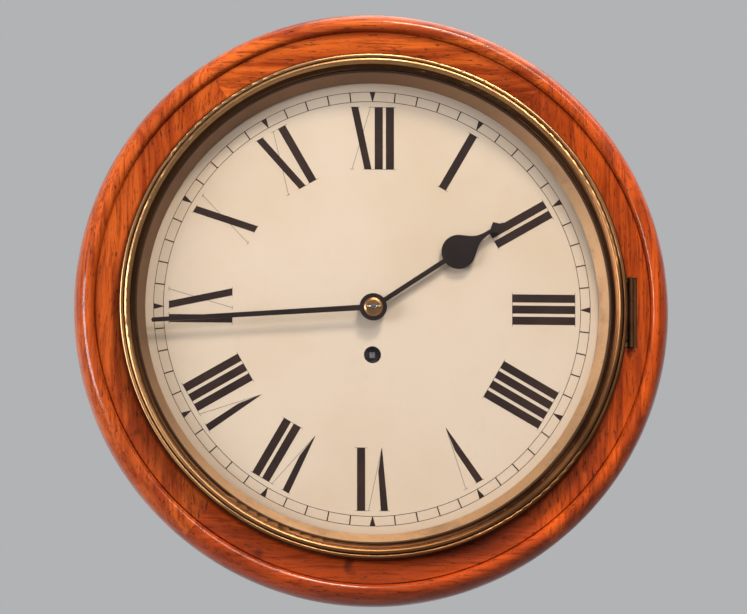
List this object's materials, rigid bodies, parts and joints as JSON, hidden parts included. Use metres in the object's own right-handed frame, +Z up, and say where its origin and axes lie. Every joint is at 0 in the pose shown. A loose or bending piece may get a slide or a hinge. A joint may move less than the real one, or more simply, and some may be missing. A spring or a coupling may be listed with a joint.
{
  "type": "schoolhouse wall clock",
  "caption": "Round wall clock with a turned wooden surround, hinged brass bezel, painted dial, spring movement and short pendulum in a box behind.",
  "frame": {"origin": "on the dial's axis, in the plane of the wall behind the backboard", "axes": "+Y out of the back into the wall, +Z up, +X to the right as seen from the front, which faces -Y"},
  "size_m": [0.381, 0.1455, 0.381],
  "materials": {
    "varnished_oak": "gloss varnish",
    "case_wood": "satin",
    "dark_wood": "satin",
    "bezel_brass": "polished, old lacquer",
    "hinge_bronze": "dark patina",
    "case_brass": "dull",
    "screw_steel": "dull",
    "hanger_iron": "dark",
    "bezel_glass": "clear",
    "dial_paint": "satin cream",
    "hand_black": "satin black",
    "plate_brass": "grained",
    "wheel_brass": "polished",
    "arbor_steel": "polished",
    "spring_steel": "blued",
    "bob_brass": "lacquered"
  },
  "bodies": {
    "case": {"surround_top": "varnished_oak", "surround_right": "varnished_oak", "surround_bottom": "varnished_oak", "surround_left": "varnished_oak", "surround_lugs": "case_wood", "case_pegs": "dark_wood", "case_left_side": "case_wood", "case_right_side": "case_wood", "case_top": "case_wood", "case_bottom": "case_wood", "case_backboard": "case_wood", "case_hinge_leaves": "case_brass", "hanger_plate": "hanger_iron", "case_screws": "screw_steel", "dial_plate": "dial_paint", "dial_feet": "plate_brass", "bezel_hinge_plate": "hinge_bronze", "front_plate": "plate_brass", "back_plate": "plate_brass", "plate_pillars": "plate_brass", "pillar_nuts": "plate_brass", "back_cock": "plate_brass"},
    "bezel": {"bezel_ring": "bezel_brass", "bezel_glass": "bezel_glass", "sight_ring": "bezel_brass", "bezel_hinge_leaf": "hinge_bronze", "bezel_catch": "bezel_brass"},
    "side_door": {"side_door": "case_wood", "side_door_hinges": "case_brass"},
    "side_button": {"side_door_button": "dark_wood"},
    "bottom_door": {"bottom_door": "case_wood", "bottom_door_hinges": "case_brass"},
    "bottom_button": {"bottom_door_button": "dark_wood"},
    "barrel": {"barrel": "wheel_brass", "barrel_cap": "wheel_brass", "mainspring": "spring_steel"},
    "winding": {"winding_arbor": "arbor_steel", "ratchet_wheel": "arbor_steel"},
    "click": {"click": "arbor_steel"},
    "intermediate": {"intermediate_arbor": "arbor_steel", "intermediate_wheel": "wheel_brass"},
    "center": {"center_arbor": "arbor_steel", "center_wheel": "wheel_brass", "cannon_pinion": "arbor_steel", "minute_hand": "hand_black", "hand_collet": "bezel_brass", "hand_pin": "arbor_steel"},
    "minute_work": {"minute_wheel": "wheel_brass"},
    "hour": {"hour_wheel": "wheel_brass", "hour_hand": "hand_black"},
    "third": {"third_arbor": "arbor_steel", "third_wheel": "wheel_brass"},
    "escape": {"escape_arbor": "arbor_steel", "escape_wheel": "wheel_brass"},
    "pallets": {"pallet_arbor": "arbor_steel", "anchor": "arbor_steel"},
    "pendulum": {"suspension_spring": "spring_steel", "pendulum_rod": "arbor_steel"},
    "bob": {"bob": "bob_brass"},
    "nut": {"rating_nut": "wheel_brass"}
  },
  "joints": [
    {"name": "bezel_hinge", "type": "hinge", "parent": "case", "child": "bezel", "pos_m": [0.1652, -0.1362, 0], "axis": [0, 0, 1], "range_deg": [0, 105]},
    {"name": "side_door_hinge", "type": "hinge", "parent": "case", "child": "side_door", "pos_m": [0.1114, -0.0199, 0], "axis": [0, 0, 1], "range_deg": [0, 100]},
    {"name": "side_button_turn", "type": "hinge", "parent": "case", "child": "side_button", "pos_m": [0.11, -0.093, 0], "axis": [1, 0, 0], "range_deg": [0, 90]},
    {"name": "bottom_door_hinge", "type": "hinge", "parent": "case", "child": "bottom_door", "pos_m": [0, -0.0179, -0.1354], "axis": [1, 0, 0], "range_deg": [0, 95]},
    {"name": "bottom_button_turn", "type": "hinge", "parent": "case", "child": "bottom_button", "pos_m": [0, -0.0625, -0.134], "axis": [0, 0, -1], "range_deg": [0, 90]},
    {"name": "center_turn", "type": "hinge", "parent": "case", "child": "center", "pos_m": [0, -0.13, 0], "axis": [0, 1, 0], "continuous": true},
    {"name": "minute_wheel_turn", "type": "hinge", "parent": "case", "child": "minute_work", "pos_m": [0.01299, -0.108, 0.0075], "axis": [0, 1, 0], "continuous": true},
    {"name": "hour_turn", "type": "hinge", "parent": "case", "child": "hour", "pos_m": [0, -0.112, 0], "axis": [0, 1, 0], "continuous": true},
    {"name": "third_turn", "type": "hinge", "parent": "case", "child": "third", "pos_m": [0.01056, -0.084, 0.01778], "axis": [0, 1, 0], "continuous": true},
    {"name": "escape_turn", "type": "hinge", "parent": "case", "child": "escape", "pos_m": [0, -0.084, 0.034], "axis": [0, 1, 0], "continuous": true},
    {"name": "intermediate_turn", "type": "hinge", "parent": "case", "child": "intermediate", "pos_m": [-0.01958, -0.084, -0.00759], "axis": [0, 1, 0], "continuous": true},
    {"name": "barrel_turn", "type": "hinge", "parent": "case", "child": "barrel", "pos_m": [0, -0.084, -0.03], "axis": [0, 1, 0], "continuous": true},
    {"name": "winding_turn", "type": "hinge", "parent": "case", "child": "winding", "pos_m": [0, -0.105, -0.03], "axis": [0, 1, 0], "continuous": true},
    {"name": "click_pivot", "type": "hinge", "parent": "case", "child": "click", "pos_m": [-0.0123, -0.1067, -0.0229], "axis": [0, -1, 0], "range_deg": [0, 10], "stiffness_Nm_per_rad": 0.001},
    {"name": "pendulum_swing", "type": "hinge", "parent": "case", "child": "pendulum", "pos_m": [0, -0.046, 0.05402], "axis": [0, 1, 0], "range_deg": [-3, 3]},
    {"name": "pallet_swing", "type": "hinge", "parent": "case", "child": "pallets", "pos_m": [0, -0.076, 0.05402], "axis": [0, 1, 0], "range_deg": [-3, 3]},
    {"name": "bob_slide", "type": "slide", "parent": "pendulum", "child": "bob", "axis": [0, 0, 1], "range_m": [-0.0014, 0.0014]},
    {"name": "nut_turn", "type": "hinge", "parent": "bob", "child": "nut", "pos_m": [0, -0.046, -0.1126], "axis": [0, 0, 1], "range_deg": [-720, 720]}
  ],
  "couplings": [
    {"joint": "minute_wheel_turn", "follows": "center_turn", "ratio": -0.33333},
    {"joint": "hour_turn", "follows": "center_turn", "ratio": 0.083333},
    {"joint": "third_turn", "follows": "center_turn", "ratio": -10},
    {"joint": "escape_turn", "follows": "center_turn", "ratio": 97.5},
    {"joint": "intermediate_turn", "follows": "center_turn", "ratio": -0.16667},
    {"joint": "barrel_turn", "follows": "center_turn", "ratio": 0.02381},
    {"joint": "pallet_swing", "follows": "pendulum_swing", "ratio": 1},
    {"joint": "nut_turn", "follows": "bob_slide", "rad_per_m": 8976}
  ]
}
